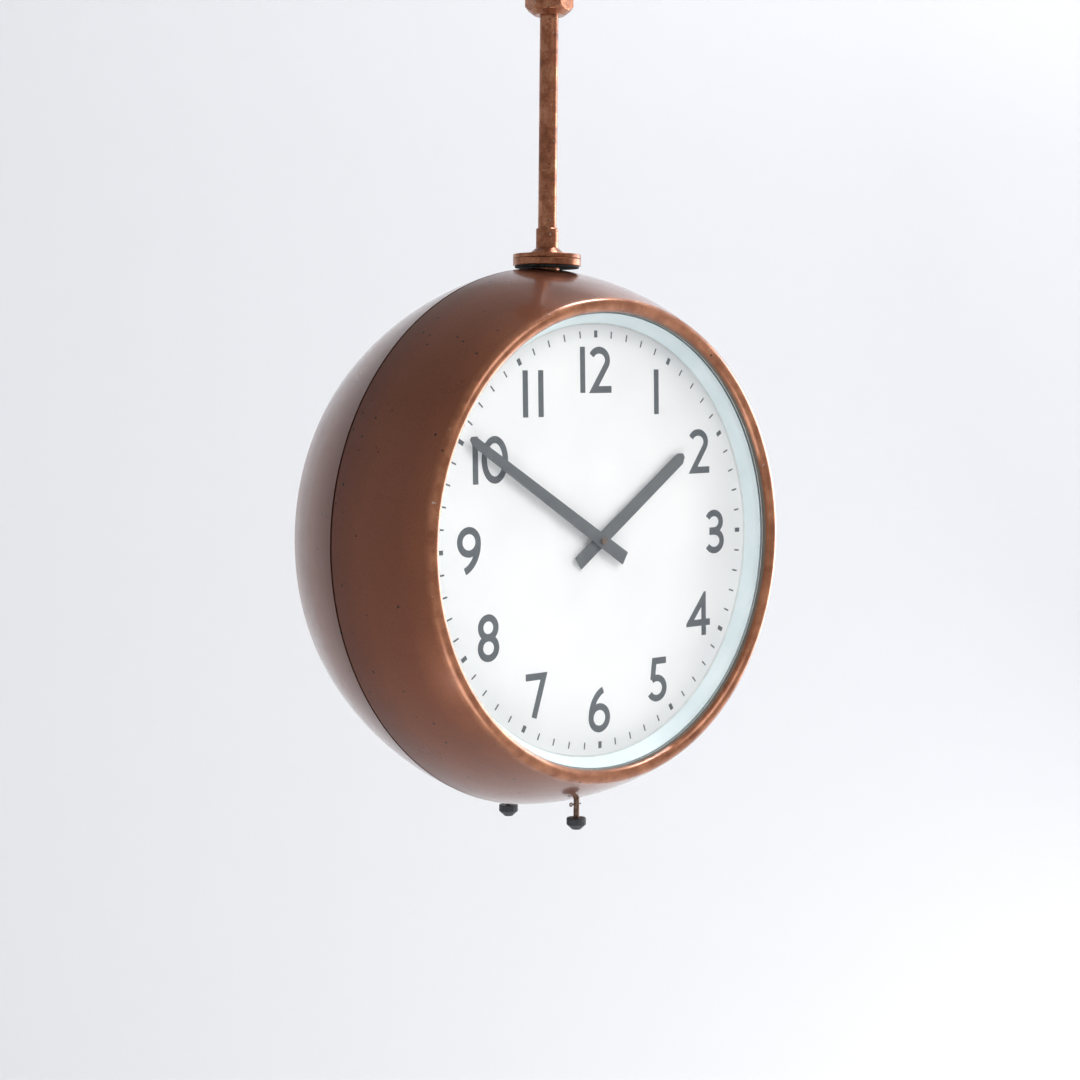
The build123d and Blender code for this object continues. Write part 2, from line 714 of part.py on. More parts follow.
# Pawl: a lever over the wheel whose nose ends just outside the teeth, at the top
nose_radius = ratchet_radius + pawl_tip_gap
nose_lean = asin(nose_side / nose_radius)
nose = (-nose_radius * sin(nose_lean), nose_radius * cos(nose_lean))
pawl_outline = Polygon(
    (pawl_x, pawl_z + pawl_waist),
    (nose[0] - nose_back, nose[1] + nose_height),
    (nose[0] + nose_land, nose[1] + nose_rise),
    nose,
    (nose[0] - heel_side, nose[1] + heel_rise),
    (pawl_x, pawl_z - pawl_waist),
    align=None,
)
pawl_end = ratchet_set + pawl_sheet
pawl = plate(pawl_outline, ratchet_set, pawl_end)
pawl += disc(pawl_eye_radius, ratchet_set, pawl_end, *pawl_pivot)
pawl -= disc(pawl_pin_radius + running_gap, ratchet_set, pawl_end, *pawl_pivot)

# Ratchet wheel: saw teeth on a disc, with a collet on the arbor
tooth_points = []
tooth_step = radians(360 / ratchet_teeth)
for index in range(ratchet_teeth):
    turn = index * tooth_step
    for radius in (ratchet_radius, ratchet_radius - ratchet_depth):
        tooth_points.append((radius * sin(turn), radius * cos(turn)))
ratchet = plate(Polygon(*tooth_points, align=None), ratchet_set, ratchet_face)
ratchet += disc(collet_radius, ratchet_set - collet_height, ratchet_set)
ratchet -= disc(arbor_radius, ratchet_set - collet_height, ratchet_face)


def gear_outline(teeth, module, phase, x=0.0, z=0.0):
    """A clock gear with straight-sided teeth, the first of them at phase degrees from twelve."""
    pitch_radius = module * teeth / 2
    root = pitch_radius - root_share * module
    tip = pitch_radius + tip_share * module
    flanks = ((root, -root_half), (tip, -tip_half), (tip, tip_half), (root, root_half))
    points = []
    for index in range(teeth):
        for radius, share in flanks:
            turn = radians(phase + (index + share) * 360 / teeth)
            points.append((x + radius * sin(turn), z + radius * cos(turn)))
    return Polygon(*points, align=None)


def in_gap(teeth):
    """Phase that turns a gap of the stud's gear towards the centre."""
    return stud_bearing + 180 + 180 / teeth


# Arbor with the cannon pinion and its sleeve
arbor = disc(arbor_radius, back_plate_set, minute_hand_front)
arbor += plate(gear_outline(pinion_teeth, minute_module, stud_bearing), gear_set, gear_set + cannon_height)
arbor += disc(sleeve_radius, gear_set, minute_hand_back)

minute_gear = gear_outline(minute_teeth, minute_module, in_gap(minute_teeth), stud_x, stud_z)
minute_pinion = gear_outline(pinion_teeth, hour_module, in_gap(pinion_teeth), stud_x, stud_z)
minute_wheel = plate(minute_gear, gear_set, gear_set + gear_sheet)
minute_wheel += plate(minute_pinion, gear_set + gear_sheet, pinion_end)
minute_wheel -= disc(stud_radius + running_gap, gear_set, pinion_end, stud_x, stud_z)

hour_gear = gear_outline(hour_teeth, hour_module, stud_bearing)
hour_wheel = plate(hour_gear, hour_wheel_set, hour_wheel_set + gear_sheet)
hour_wheel += disc(pipe_radius, hour_wheel_set, hour_hand_front)
hour_wheel -= disc(pipe_bore, hour_wheel_set, hour_hand_front)


# Hands: flat bars with a blunt point and a square tail
def hand(reach, tail, tip_width, tail_width, angle, hole):
    flat = hand_point_share * tip_width / 2
    outline = Polygon(
        (-tail_width / 2, -tail),
        (tail_width / 2, -tail),
        (tip_width / 2, reach - hand_point),
        (flat, reach),
        (-flat, reach),
        (-tip_width / 2, reach - hand_point),
        align=None,
    )
    return Rot(0, 0, dial_turn - angle) * (outline - Circle(hole))


minute_flat = hand(
    minute_reach, minute_tail, minute_tip_width, minute_tail_width, minute_angle, arbor_radius
)
minute_hand = plate(minute_flat, minute_hand_back, minute_hand_front)
hour_flat = hand(hour_reach, hour_tail, hour_tip_width, hour_tail_width, hour_angle, pipe_radius)
hour_hand = plate(hour_flat, hour_hand_back, hour_hand_front)
hand_screw = disc(hand_screw_radius, minute_hand_front, minute_hand_front + hand_screw_height)
slot_floor = minute_hand_front + hand_screw_height / 2
slot_end = slot_floor + hand_screw_height
half_slot = hand_slot / 2
hand_screw -= block(-hand_screw_radius, hand_screw_radius, slot_floor, slot_end, -half_slot, half_slot)

face_pieces = {
    "dial": dial,
    "armature": armature,
    "pawl": pawl,
    "ratchet_wheel": ratchet,
    "centre_arbor": arbor,
    "minute_wheel": minute_wheel,
    "hour_wheel": hour_wheel,
    "minute_hand": minute_hand,
    "hour_hand": hour_hand,
    "hand_screw": hand_screw,
}
for name, piece in face_pieces.items():
    nodes[f"front_{name}"] = piece
    nodes[f"rear_{name}"] = other_face(piece)

os.makedirs("parts", exist_ok=True)
for name, shape in nodes.items():
    export_step(Pos(0, 0, -drop) * shape, f"parts/{name}.step")
print(f"{len(nodes)} nodes, clock centre {drop:.1f} mm below the ceiling")
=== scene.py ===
# A double-sided pendant clock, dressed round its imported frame: lacquer, dials, print, knobs and light
import bpy
import bmesh
import json
from math import cos, pi, radians, sin
from mathutils import Matrix, Vector
from mathutils.bvhtree import BVHTree


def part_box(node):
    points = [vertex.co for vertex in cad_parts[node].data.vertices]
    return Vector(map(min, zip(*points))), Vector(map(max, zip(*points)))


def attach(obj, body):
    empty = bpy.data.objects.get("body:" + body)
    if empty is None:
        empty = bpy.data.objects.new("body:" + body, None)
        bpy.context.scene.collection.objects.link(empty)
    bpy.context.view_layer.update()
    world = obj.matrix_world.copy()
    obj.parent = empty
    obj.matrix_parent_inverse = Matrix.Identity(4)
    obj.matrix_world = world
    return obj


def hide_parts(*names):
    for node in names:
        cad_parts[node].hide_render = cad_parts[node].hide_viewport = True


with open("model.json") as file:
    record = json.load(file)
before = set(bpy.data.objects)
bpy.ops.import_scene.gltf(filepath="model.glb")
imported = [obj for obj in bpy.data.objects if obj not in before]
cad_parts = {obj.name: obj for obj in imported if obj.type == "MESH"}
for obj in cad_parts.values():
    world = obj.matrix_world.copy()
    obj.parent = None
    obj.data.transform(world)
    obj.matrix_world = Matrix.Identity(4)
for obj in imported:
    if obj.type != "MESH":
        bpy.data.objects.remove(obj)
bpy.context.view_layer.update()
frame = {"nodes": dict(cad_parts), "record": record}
nodes = frame["nodes"]
mm = 0.001

# Where things are, read from the frame
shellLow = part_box("front_shell")[0]
dialLow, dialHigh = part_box("front_dial")
ringLow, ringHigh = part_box("centre_ring")
clockLevel = (dialLow[2] + dialHigh[2]) / 2
caseFront = -shellLow[1]  # from the seam plane to the front of the lip
dialFront = -dialLow[1]
faces = {"front": 1, "rear": -1}


# Plain tools
def linearColour(code):
    values = [int(code[i:i + 2], 16) / 255 for i in (1, 3, 5)]
    return [v / 12.92 if v <= 0.04045 else ((v + 0.055) / 1.055) ** 2.4 for v in values] + [1]


def perMetre(size):  # a pattern's scale from its size in millimetres
    return 1 / (size * mm)


def addNode(tree, kind, values=None, links=None, stops=None, **settings):
    node = tree.nodes.new(kind)
    for key, value in settings.items():
        setattr(node, key, value)
    for key, value in (values or {}).items():
        node.inputs[key].default_value = value
    for key, source in (links or {}).items():
        tree.links.new(source, node.inputs[key])
    for index, (place, code) in enumerate(stops or []):  # a colour ramp's stops
        elements = node.color_ramp.elements
        element = elements[index] if index < 2 else elements.new(place)
        element.position = place
        element.color = linearColour(code)
    return node


def startMaterial(name, base):  # a Principled material, with coordinates from the clock's middle
    material = bpy.data.materials.new(name)
    material.use_nodes = True
    tree = material.node_tree
    surface = tree.nodes["Principled BSDF"]
    for key, value in base.items():
        surface.inputs[key].default_value = value
    place = addNode(tree, "ShaderNodeTexCoord").outputs
    lowered = {"Location": (0, 0, -clockLevel)}
    middle = addNode(tree, "ShaderNodeMapping", lowered, {"Vector": place["Object"]})
    return material, tree, surface, middle.outputs["Vector"]


def dress(objects, material):
    for piece in objects:
        piece.data.materials.clear()
        piece.data.materials.append(material)


# Stoving lacquer on spun steel: bronze pigment under a clear gloss. Brown at the seam as painted shade,
# coppery towards the lip as painted light, bright on the lip in patches, partly rubbed where hands catch it
# and partly a painted highlight, with grit specks near the seam.
caseLook = {
    # the seam tone is painted shade, the lip tone painted light
    "seam": "#603423", "flank": "#733f27", "lip": "#834a2c", "wearAndHighlight": "#c0805a", "speck": "#1d1310",
    "primer": "#b9b2a8", "inside": "#857d74", "clouds": 80, "flake": 1.5, "wearAndHighlightPatches": 26, "specks": 9,
    "speckReach": 60, "chips": 9, "lipStart": 9, "lipEnd": 1, "insideEnd": 6, "peel": 5, "proud": 0.2,
    "roughness": (0.26, 0.4),
}


def caseLacquer():
    look = caseLook
    base = {"Metallic": 0.5, "Coat Roughness": 0.14, "Coat IOR": 1.3}
    material, tree, surface, middle = startMaterial("caseLacquer", base)
    parts = addNode(tree, "ShaderNodeSeparateXYZ", links={"Vector": middle}).outputs
    away = addNode(tree, "ShaderNodeMath", links={0: parts["Y"]}, operation="ABSOLUTE").outputs[0]
    clouds = addNode(
        tree, "ShaderNodeTexNoise", {"Scale": perMetre(look["clouds"]), "Detail": 6, "Roughness": 0.62},
        {"Vector": middle},
    ).outputs["Fac"]
    flake = addNode(
        tree, "ShaderNodeTexNoise", {"Scale": perMetre(look["flake"]), "Detail": 2}, {"Vector": middle}
    ).outputs["Fac"]
    # brown to copper with the distance from the seam, its edge blurred by the clouds: painted shade at the
    # seam, painted light towards the lip
    drift = addNode(
        tree, "ShaderNodeMath", {1: 0.04}, {0: clouds, 2: away}, operation="MULTIPLY_ADD"
    ).outputs[0]
    across = addNode(
        tree, "ShaderNodeMapRange", {"From Min": 0.02, "From Max": caseFront + 0.02}, {"Value": drift}
    ).outputs[0]
    paint = addNode(
        tree, "ShaderNodeValToRGB", links={"Fac": across},
        stops=[(0, look["seam"]), (1, look["lip"]), (0.35, look["flank"]), (0.72, look["flank"])],
    ).outputs["Color"]
    tone = addNode(
        tree, "ShaderNodeMapRange", {"From Min": 0.3, "From Max": 0.7, "To Min": 0.88, "To Max": 1.12},
        {"Value": flake},
    ).outputs[0]
    paint = addNode(
        tree, "ShaderNodeVectorMath", links={0: paint, "Scale": tone}, operation="SCALE"
    ).outputs[0]
    # the rolled lip is brighter in patches: partly rubbed wear, partly a painted highlight
    onLip = addNode(
        tree, "ShaderNodeMapRange",
        {"From Min": caseFront - look["lipStart"] * mm, "From Max": caseFront - look["lipEnd"] * mm},
        {"Value": away}, interpolation_type="SMOOTHSTEP",
    ).outputs[0]
    wearAndHighlightPatches = addNode(
        tree, "ShaderNodeTexNoise", {"Scale": perMetre(look["wearAndHighlightPatches"]), "Detail": 8, "Roughness": 0.65},
        {"Vector": middle},
    ).outputs["Fac"]
    wearAndHighlightMask = addNode(
        tree, "ShaderNodeMapRange", {"From Min": 0.35, "From Max": 0.65, "To Min": 0.0, "To Max": 0.75},
        {"Value": wearAndHighlightPatches},
    ).outputs[0]
    wearAndHighlightMask = addNode(tree, "ShaderNodeMath", links={0: wearAndHighlightMask, 1: onLip}, operation="MULTIPLY").outputs[0]
    # bright copper on the lip: partly wear, partly a painted highlight
    paint = addNode(
        tree, "ShaderNodeMix", {7: linearColour(look["wearAndHighlight"])}, {0: wearAndHighlightMask, 6: paint}, data_type="RGBA"
    ).outputs[2]
    # chips through to the primer, few, on and behind the lip
    chipCells = addNode(
        tree, "ShaderNodeTexNoise", {"Scale": perMetre(look["chips"]), "Detail": 5, "Roughness": 0.7},
        {"Vector": middle},
    ).outputs["Fac"]
    chipped = addNode(
        tree, "ShaderNodeMapRange", {"From Min": 0.68, "From Max": 0.695}, {"Value": chipCells}
    ).outputs[0]
    chipped = addNode(tree, "ShaderNodeMath", links={0: chipped, 1: onLip}, operation="MULTIPLY").outputs[0]
    paint = addNode(
        tree, "ShaderNodeMix", {7: linearColour(look["primer"])}, {0: chipped, 6: paint}, data_type="RGBA"
    ).outputs[2]
    # dark grit specks, mostly by the seam
    cells = addNode(
        tree, "ShaderNodeTexVoronoi", {"Scale": perMetre(look["specks"]), "Randomness": 1.0},
        {"Vector": middle},
    ).outputs
    dot = addNode(
        tree, "ShaderNodeMapRange", {"From Min": 0.11, "From Max": 0.17, "To Min": 1, "To Max": 0},
        {"Value": cells["Distance"]},
    ).outputs[0]
    bySeam = addNode(
        tree, "ShaderNodeMapRange",
        {"From Min": 0, "From Max": look["speckReach"] * mm, "To Min": 0.55, "To Max": 0.93},
        {"Value": away},
    ).outputs[0]
    pick = addNode(tree, "ShaderNodeSeparateColor", links={"Color": cells["Color"]}).outputs[0]
    chosen = addNode(
        tree, "ShaderNodeMath", links={0: pick, 1: bySeam}, operation="GREATER_THAN"
    ).outputs[0]
    speck = addNode(tree, "ShaderNodeMath", links={0: dot, 1: chosen}, operation="MULTIPLY").outputs[0]
    paint = addNode(
        tree, "ShaderNodeMix", {7: linearColour(look["speck"])}, {0: speck, 6: paint}, data_type="RGBA"
    ).outputs[2]
    # the inside of a half-case has only a grey primer: there the surface faces the clock's axis
    facing = addNode(tree, "ShaderNodeTexCoord").outputs["Normal"]
    inward = addNode(
        tree, "ShaderNodeVectorMath", {1: (1, 0, 1)}, {0: middle}, operation="MULTIPLY"
    ).outputs[0]
    inward = addNode(
        tree, "ShaderNodeVectorMath", links={0: inward, 1: facing}, operation="DOT_PRODUCT"
    ).outputs["Value"]
    inside = addNode(tree, "ShaderNodeMath", {1: -0.05}, {0: inward}, operation="LESS_THAN").outputs[0]
    offLip = addNode(
        tree, "ShaderNodeMath", {1: caseFront - look["insideEnd"] * mm}, {0: away}, operation="LESS_THAN"
    ).outputs[0]
    inside = addNode(tree, "ShaderNodeMath", links={0: inside, 1: offLip}, operation="MULTIPLY").outputs[0]
    paint = addNode(
        tree, "ShaderNodeMix", {7: linearColour(look["inside"])}, {0: inside, 6: paint}, data_type="RGBA"
    ).outputs[2]
    tree.links.new(paint, surface.inputs["Base Color"])
    sheen = addNode(
        tree, "ShaderNodeMapRange",
        {"From Min": 0.3, "From Max": 0.7, "To Min": look["roughness"][0], "To Max": look["roughness"][1]},
        {"Value": clouds},
    ).outputs[0]
    sheen = addNode(tree, "ShaderNodeMath", links={0: sheen, 1: inside}, operation="ADD").outputs[0]
    tree.links.new(sheen, surface.inputs["Roughness"])
    gloss = addNode(tree, "ShaderNodeMath", {0: 1.0}, {1: inside}, operation="SUBTRACT").outputs[0]
    tree.links.new(gloss, surface.inputs["Coat Weight"])
    # orange peel, with the specks proud and the chips sunk
    peel = addNode(
        tree, "ShaderNodeTexNoise", {"Scale": perMetre(look["peel"]), "Detail": 2}, {"Vector": middle}
    ).outputs["Fac"]
    height = addNode(
        tree, "ShaderNodeMath", {1: 0.12}, {0: peel, 2: speck}, operation="MULTIPLY_ADD"
    ).outputs[0]
    height = addNode(tree, "ShaderNodeMath", links={0: height, 1: chipped}, operation="SUBTRACT").outputs[0]
    bump = addNode(
        tree, "ShaderNodeBump", {"Distance": look["proud"] * mm, "Strength": 0.8}, {"Height": height}
    )
    tree.links.new(bump.outputs["Normal"], surface.inputs["Normal"])
    return material


# The same lacquer on cast and drawn fittings: rubbed to bright copper, stained dark in bands and spots
pendantLook = {
    "stain": "#2e1c15", "brown": "#653a28", "copper": "#8d5539", "bright": "#c48a68",
    "verdigris": "#9fa28c", "patches": 12, "bands": 40, "spots": 5, "bloom": 4, "grain": 0.9,
    "proud": 0.25, "roughness": (0.2, 0.42),
}


def pendantLacquer():
    look = pendantLook
    smooth, rough = look["roughness"]
    base = {"Metallic": 0.8, "Coat Weight": 0.15, "Coat Roughness": 0.25}
    material, tree, surface, middle = startMaterial("pendantLacquer", base)
    patches = addNode(
        tree, "ShaderNodeTexNoise", {"Scale": perMetre(look["patches"]), "Detail": 8, "Roughness": 0.68},
        {"Vector": middle},
    ).outputs["Fac"]
    flat = addNode(tree, "ShaderNodeMapping", {"Scale": (0.25, 0.25, 1.0)}, {"Vector": middle})
    bands = addNode(
        tree, "ShaderNodeTexNoise", {"Scale": perMetre(look["bands"]), "Detail": 6, "Roughness": 0.7},
        {"Vector": flat.outputs["Vector"]},
    ).outputs["Fac"]
    mixed = addNode(tree, "ShaderNodeMath", links={0: patches, 1: bands}, operation="ADD").outputs[0]
    mixed = addNode(tree, "ShaderNodeMath", {1: 0.5}, {0: mixed}, operation="MULTIPLY").outputs[0]
    paint = addNode(
        tree, "ShaderNodeValToRGB", links={"Fac": mixed},
        stops=[(0.3, look["stain"]), (0.66, look["bright"]), (0.38, look["brown"]), (0.48, look["copper"])],
    ).outputs["Color"]
    cells = addNode(
        tree, "ShaderNodeTexVoronoi", {"Scale": perMetre(look["spots"])}, {"Vector": middle}
    ).outputs
    spot = addNode(
        tree, "ShaderNodeMapRange", {"From Min": 0.12, "From Max": 0.22, "To Min": 1, "To Max": 0},
        {"Value": cells["Distance"]},
    ).outputs[0]
    pick = addNode(tree, "ShaderNodeSeparateColor", links={"Color": cells["Color"]}).outputs[0]
    chosen = addNode(tree, "ShaderNodeMath", {1: 0.74}, {0: pick}, operation="GREATER_THAN").outputs[0]
    spot = addNode(tree, "ShaderNodeMath", links={0: spot, 1: chosen}, operation="MULTIPLY").outputs[0]
    paint = addNode(
        tree, "ShaderNodeMix", {7: linearColour(look["stain"])}, {0: spot, 6: paint}, data_type="RGBA"
    ).outputs[2]
    # a little pale bloom, in the hollows between the fittings
    bloom = addNode(
        tree, "ShaderNodeTexNoise", {"Scale": perMetre(look["bloom"]), "Detail": 4}, {"Vector": middle}
    ).outputs["Fac"]
    bloom = addNode(
        tree, "ShaderNodeMapRange", {"From Min": 0.66, "From Max": 0.72, "To Max": 0.7}, {"Value": bloom}
    ).outputs[0]
    paint = addNode(
        tree, "ShaderNodeMix", {7: linearColour(look["verdigris"])}, {0: bloom, 6: paint}, data_type="RGBA"
    ).outputs[2]
    tree.links.new(paint, surface.inputs["Base Color"])
    sheen = addNode(
        tree, "ShaderNodeMapRange",
        {"From Min": 0.35, "From Max": 0.62, "To Min": rough, "To Max": smooth}, {"Value": mixed},
    ).outputs[0]
    tree.links.new(sheen, surface.inputs["Roughness"])
    grain = addNode(
        tree, "ShaderNodeTexNoise", {"Scale": perMetre(look["grain"]), "Detail": 3}, {"Vector": middle}
    ).outputs["Fac"]
    height = addNode(
        tree, "ShaderNodeMath", {1: 0.3}, {0: grain, 2: patches}, operation="MULTIPLY_ADD"
    ).outputs[0]
    height = addNode(tree, "ShaderNodeMath", links={0: height, 1: spot}, operation="SUBTRACT").outputs[0]
    bump = addNode(
        tree, "ShaderNodeBump", {"Distance": look["proud"] * mm, "Strength": 0.6}, {"Height": height}
    )
    tree.links.new(bump.outputs["Normal"], surface.inputs["Normal"])
    return material


# Everything plainer: one base, a mottle between two colours, a grain and a bump. Sizes in millimetres.
plainLooks = {
    # stove enamel on a steel dial: smooth, hardly glossy, a breath of yellowing
    "dialEnamel": {
        "colours": ("#efecee", "#f6f3f4"), "mottle": 90, "grain": 1.2, "bump": 0.01, "stretch": (1, 1, 1),
        "roughness": (0.42, 0.5), "base": {"Specular IOR Level": 0.4},
    },
    # satin cellulose paint, white, with a painted reflection of the sky's blue in its colour
    "revealPaintSkyTint": {
        "colours": ("#dfeaee", "#eaf3f6"), "mottle": 40, "grain": 1.5, "bump": 0.02, "stretch": (1, 1, 1),
        "roughness": (0.4, 0.5), "base": {},
    },
    # grey printing ink, matt and faintly uneven
    "dialInk": {
        "colours": ("#474c52", "#4f545a"), "mottle": 8, "grain": 0.5, "bump": 0.01, "stretch": (1, 1, 1),
        "roughness": (0.6, 0.75), "base": {},
    },
    # nitrile rubber and felt: deep matt black
    "sealRubber": {
        "colours": ("#151515", "#232221"), "mottle": 6, "grain": 0.6, "bump": 0.08, "stretch": (1, 1, 1),
        "roughness": (0.7, 0.9), "base": {},
    },
    # white wool felt, gone a little grey
    "edgeFelt": {
        "colours": ("#d9dcdc", "#e9ebea"), "mottle": 10, "grain": 0.5, "bump": 0.1, "stretch": (1, 1, 1),
        "roughness": (0.85, 0.95), "base": {},
    },
    # zinc plate on steel: soft grey with a faint spangle and handling marks
    "zincPlate": {
        "colours": ("#9b9d9c", "#bfc1bd"), "mottle": 9, "grain": 1.4, "bump": 0.04, "stretch": (1, 1, 1),
        "roughness": (0.3, 0.48), "base": {"Metallic": 1.0},
    },
    # half-hard brass sheet, drawn in one direction, going brown
    "movementBrass": {
        "colours": ("#a98548", "#cfae6c"), "mottle": 14, "grain": 0.5, "bump": 0.02,
        "stretch": (1, 1, 0.06), "roughness": (0.24, 0.4), "base": {"Metallic": 1.0},
    },
    # soft iron, bead-blasted and oiled
    "magnetIron": {
        "colours": ("#55565a", "#6f7072"), "mottle": 7, "grain": 0.7, "bump": 0.05, "stretch": (1, 1, 1),
        "roughness": (0.38, 0.55), "base": {"Metallic": 0.9},
    },
    # steel screws gone brown with age
    "agedSteel": {
        "colours": ("#4d3a2f", "#8a7565"), "mottle": 4, "grain": 0.6, "bump": 0.06, "stretch": (1, 1, 1),
        "roughness": (0.35, 0.55), "base": {"Metallic": 0.9},
    },
    # moulded phenolic: near black, greying where it is touched
    "knobPhenolic": {
        "colours": ("#26282b", "#3d4045"), "mottle": 5, "grain": 0.6, "bump": 0.03, "stretch": (1, 1, 1),
        "roughness": (0.38, 0.55), "base": {},
    },
    # brown moulded phenolic, with a swirl of filler
    "terminalPhenolic": {
        "colours": ("#2c1a12", "#4a2c1d"), "mottle": 6, "grain": 0.8, "bump": 0.02, "stretch": (1, 1, 1),
        "roughness": (0.3, 0.42), "base": {"Coat Weight": 0.2},
    },
}


def plainMaterial(name):
    look = plainLooks[name]
    smooth, rough = look["roughness"]
    material, tree, surface, middle = startMaterial(name, look["base"])
    drawn = addNode(
        tree, "ShaderNodeMapping", {"Scale": look["stretch"]}, {"Vector": middle}
    ).outputs["Vector"]
    mottle = addNode(
        tree, "ShaderNodeTexNoise", {"Scale": perMetre(look["mottle"]), "Detail": 5, "Roughness": 0.6},
        {"Vector": drawn},
    ).outputs["Fac"]
    grain = addNode(
        tree, "ShaderNodeTexNoise", {"Scale": perMetre(look["grain"]), "Detail": 3}, {"Vector": drawn}
    ).outputs["Fac"]
    colour = addNode(
        tree, "ShaderNodeValToRGB", links={"Fac": mottle},
        stops=[(0.35, look["colours"][0]), (0.65, look["colours"][1])],
    ).outputs["Color"]
    tree.links.new(colour, surface.inputs["Base Color"])
    sheen = addNode(
        tree, "ShaderNodeMapRange",
        {"From Min": 0.35, "From Max": 0.65, "To Min": smooth, "To Max": rough}, {"Value": grain},
    ).outputs[0]
    tree.links.new(sheen, surface.inputs["Roughness"])
    bump = addNode(
        tree, "ShaderNodeBump", {"Distance": look["bump"] * mm, "Strength": 1.0}, {"Height": grain}
    )
    tree.links.new(bump.outputs["Normal"], surface.inputs["Normal"])
    return material


# Grey cellulose paint on the hands, flaked to white metal in a few places along their edges
handLook = {"grey": ("#474b50", "#4f5358"), "flake": "#e8eaec", "flakes": 7, "mottle": 12}


def handPaint():
    look = handLook
    material, tree, surface, middle = startMaterial("handPaint", {"Roughness": 0.5})
    mottle = addNode(
        tree, "ShaderNodeTexNoise", {"Scale": perMetre(look["mottle"]), "Detail": 5}, {"Vector": middle}
    ).outputs["Fac"]
    colour = addNode(
        tree, "ShaderNodeValToRGB", links={"Fac": mottle},
        stops=[(0.35, look["grey"][0]), (0.65, look["grey"][1])],
    ).outputs["Color"]
    cells = addNode(
        tree, "ShaderNodeTexNoise", {"Scale": perMetre(look["flakes"]), "Detail": 7, "Roughness": 0.7},
        {"Vector": middle},
    ).outputs["Fac"]
    flaked = addNode(
        tree, "ShaderNodeMapRange", {"From Min": 0.74, "From Max": 0.755}, {"Value": cells}
    ).outputs[0]
    colour = addNode(
        tree, "ShaderNodeMix", {7: linearColour(look["flake"])}, {0: flaked, 6: colour}, data_type="RGBA"
    ).outputs[2]
    tree.links.new(colour, surface.inputs["Base Color"])
    bump = addNode(
        tree, "ShaderNodeBump", {"Distance": 0.05 * mm, "Strength": 1.0}, {"Height": flaked}, invert=True
    )
    tree.links.new(bump.outputs["Normal"], surface.inputs["Normal"])
    return material


# Enamelled copper wire in close turns under varnish: bands round each upright coil
coilLook = {"wire": 0.6, "dark": "#4b1f10", "light": "#a3552c"}


def coilWire():
    look = coilLook
    base = {"Metallic": 0.5, "Roughness": 0.3, "Coat Weight": 0.6}
    material, tree, surface, middle = startMaterial("coilWire", base)
    turns = addNode(
        tree, "ShaderNodeTexWave", {"Scale": perMetre(look["wire"]) * pi / 10, "Distortion": 0.4},
        {"Vector": middle}, bands_direction="Z",
    ).outputs["Fac"]
    colour = addNode(
        tree, "ShaderNodeValToRGB", links={"Fac": turns}, stops=[(0.2, look["dark"]), (0.9, look["light"])]
    ).outputs["Color"]
    tree.links.new(colour, surface.inputs["Base Color"])
    bump = addNode(tree, "ShaderNodeBump", {"Distance": 0.2 * mm, "Strength": 1.0}, {"Height": turns})
    tree.links.new(bump.outputs["Normal"], surface.inputs["Normal"])
    return material


# Float glass, which lets the lamps' light straight through to the dial
def windowGlass():
    base = {"Transmission Weight": 1.0, "Roughness": 0.0, "IOR": 1.5, "Base Color": linearColour("#fbfdfd")}
    material, tree, surface, middle = startMaterial("windowGlass", base)
    clear = addNode(tree, "ShaderNodeBsdfTransparent", {"Color": linearColour("#f7fafa")})
    rays = addNode(tree, "ShaderNodeLightPath")
    pane = addNode(
        tree, "ShaderNodeMixShader",
        links={0: rays.outputs["Is Shadow Ray"], 1: surface.outputs["BSDF"], 2: clear.outputs["BSDF"]},
    )
    tree.links.new(pane.outputs["Shader"], tree.nodes["Material Output"].inputs["Surface"])
    return material


materials = {name: plainMaterial(name) for name in plainLooks}
materials["caseLacquer"] = caseLacquer()
materials["pendantLacquer"] = pendantLacquer()
materials["handPaint"] = handPaint()
materials["coilWire"] = coilWire()
materials["windowGlass"] = windowGlass()
print("materials made:", len(materials))

# Which finish each packed slot gets
slotFinish = {
    "case_lacquer": "caseLacquer", "pendant_lacquer": "pendantLacquer", "seal_rubber": "sealRubber",
    "window_glass": "windowGlass", "dial_white": "dialEnamel", "reveal_white": "revealPaintSkyTint",
    "hand_grey": "handPaint", "zinc_steel": "zincPlate", "movement_brass": "movementBrass",
    "magnet_iron": "magnetIron", "coil_winding": "coilWire", "knob_black": "knobPhenolic",
    "screw_steel": "agedSteel", "terminal_phenolic": "terminalPhenolic",
}
for part in frame["record"]["subparts"]:
    dress([nodes[part["node"]]], materials[slotFinish[part["material_slot"]]])
for face in faces:  # white wool felt beds the glass, and other seals are black
    dress([nodes[face + "_glass_seal"]], materials["edgeFelt"])
print("frame pieces dressed:", len(nodes))


def facePlace(face, turn=0):  # drawn flat as read, x right, y up and z out of the dial
    quarter = Matrix.Rotation(radians(90), 4, "X")
    half = Matrix.Rotation(0 if face == "front" else pi, 4, "Z")
    return Matrix.Translation((0, 0, clockLevel)) @ half @ quarter @ Matrix.Rotation(radians(turn), 4, "Z")


def finishPiece(name, mesh, body, finish, smooth=True):
    data = bpy.data.meshes.new(name)
    bmesh.ops.remove_doubles(mesh, verts=mesh.verts, dist=1e-6)
    bmesh.ops.recalc_face_normals(mesh, faces=mesh.faces)
    mesh.to_mesh(data)
    mesh.free()
    piece = bpy.data.objects.new(name, data)
    bpy.context.scene.collection.objects.link(piece)
    if smooth:
        data.shade_smooth()
        data.set_sharp_from_angle(angle=radians(35))
    dress([piece], materials[finish])
    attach(piece, body)
    return piece


